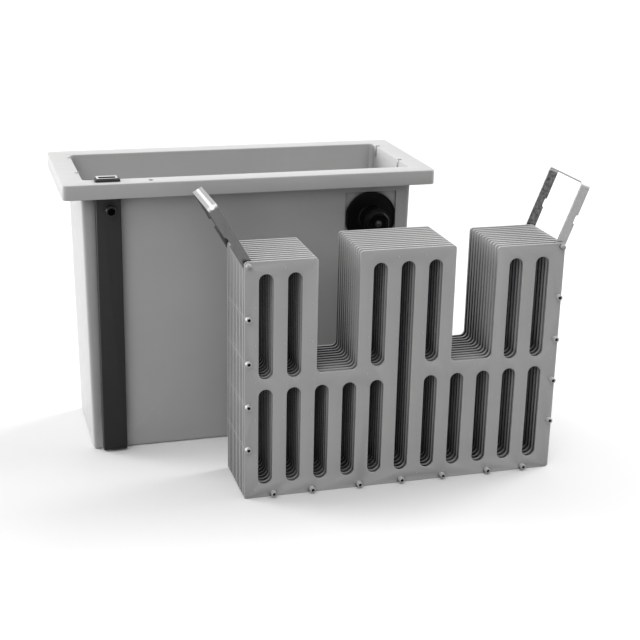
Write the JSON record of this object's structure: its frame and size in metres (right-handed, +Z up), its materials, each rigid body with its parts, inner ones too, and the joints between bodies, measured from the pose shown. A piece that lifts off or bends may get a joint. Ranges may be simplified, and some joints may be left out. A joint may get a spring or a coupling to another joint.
{
  "type": "archival print washer",
  "caption": "Upright tank with a wide rim, side inlet duct and outlet valve, and a lift-out rack of slotted dividers with two folding strip handles.",
  "frame": {"origin": "under the middle of the tank's footprint, on the surface it stands on", "axes": "+Z up, -Y towards the front, where the duct, the valve and the rack are, +X to the right seen from the front"},
  "size_m": [0.6779, 0.4068, 0.4082],
  "materials": {
    "tank_plastic": "moulded light grey, satin",
    "divider_plastic": "moulded mid grey, matte",
    "duct_plastic": "black, satin",
    "valve_plastic": "black, satin",
    "knob_plastic": "black, glossy",
    "rotor_plastic": "off-white, satin",
    "pale_plastic": "pale grey, satin",
    "seal_rubber": "dark, matte",
    "dark_steel": "dull",
    "steel": "brushed"
  },
  "bodies": {
    "tank": {"tank_shell": "tank_plastic", "inlet_duct": "duct_plastic", "mouth_collar": "pale_plastic", "hose_spigot": "duct_plastic", "rim_clips": "dark_steel", "valve_body": "valve_plastic", "valve_seal": "seal_rubber", "lock_nut": "valve_plastic", "outlet_hose_tail": "valve_plastic"},
    "knob": {"valve_rotor": "rotor_plastic", "valve_spindle": "steel", "valve_knob": "knob_plastic", "knob_washer": "steel", "knob_screw": "steel"},
    "rack": {"divider_1": "divider_plastic", "divider_2": "divider_plastic", "divider_3": "divider_plastic", "divider_4": "divider_plastic", "divider_5": "divider_plastic", "divider_6": "divider_plastic", "divider_7": "divider_plastic", "divider_8": "divider_plastic", "divider_9": "divider_plastic", "divider_10": "divider_plastic", "divider_11": "divider_plastic", "divider_12": "divider_plastic", "left_tie_tube_1": "pale_plastic", "left_tie_tube_2": "pale_plastic", "left_tie_tube_3": "pale_plastic", "left_tie_tube_4": "pale_plastic", "right_tie_tube_1": "pale_plastic", "right_tie_tube_2": "pale_plastic", "right_tie_tube_3": "pale_plastic", "right_tie_tube_4": "pale_plastic", "bottom_tie_tube_1": "pale_plastic", "bottom_tie_tube_2": "pale_plastic", "bottom_tie_tube_3": "pale_plastic", "bottom_tie_tube_4": "pale_plastic", "bottom_tie_tube_5": "pale_plastic", "bottom_tie_tube_6": "pale_plastic", "bottom_tie_tube_7": "pale_plastic", "left_pivot_rod": "steel", "right_pivot_rod": "steel", "left_rod_caps": "pale_plastic", "right_rod_caps": "pale_plastic"},
    "left_handle": {"left_handle": "steel"},
    "right_handle": {"right_handle": "steel"}
  },
  "joints": [
    {"name": "rack_lift", "type": "slide", "parent": "tank", "child": "rack", "axis": [0, 0, 1], "range_m": [0, 0.4]},
    {"name": "left_handle_swing", "type": "hinge", "parent": "rack", "child": "left_handle", "pos_m": [-0.051, -0.23535, 0.3225], "axis": [0, 1, 0], "range_deg": [-139.5, 112]},
    {"name": "right_handle_swing", "type": "hinge", "parent": "rack", "child": "right_handle", "pos_m": [0.379, -0.23535, 0.3225], "axis": [0, 1, 0], "range_deg": [-102.4, 149]},
    {"name": "knob_turn", "type": "hinge", "parent": "tank", "child": "knob", "pos_m": [0.1745, -0.11521, 0.3227], "axis": [0, -1, 0], "range_deg": [0, 90]}
  ]
}
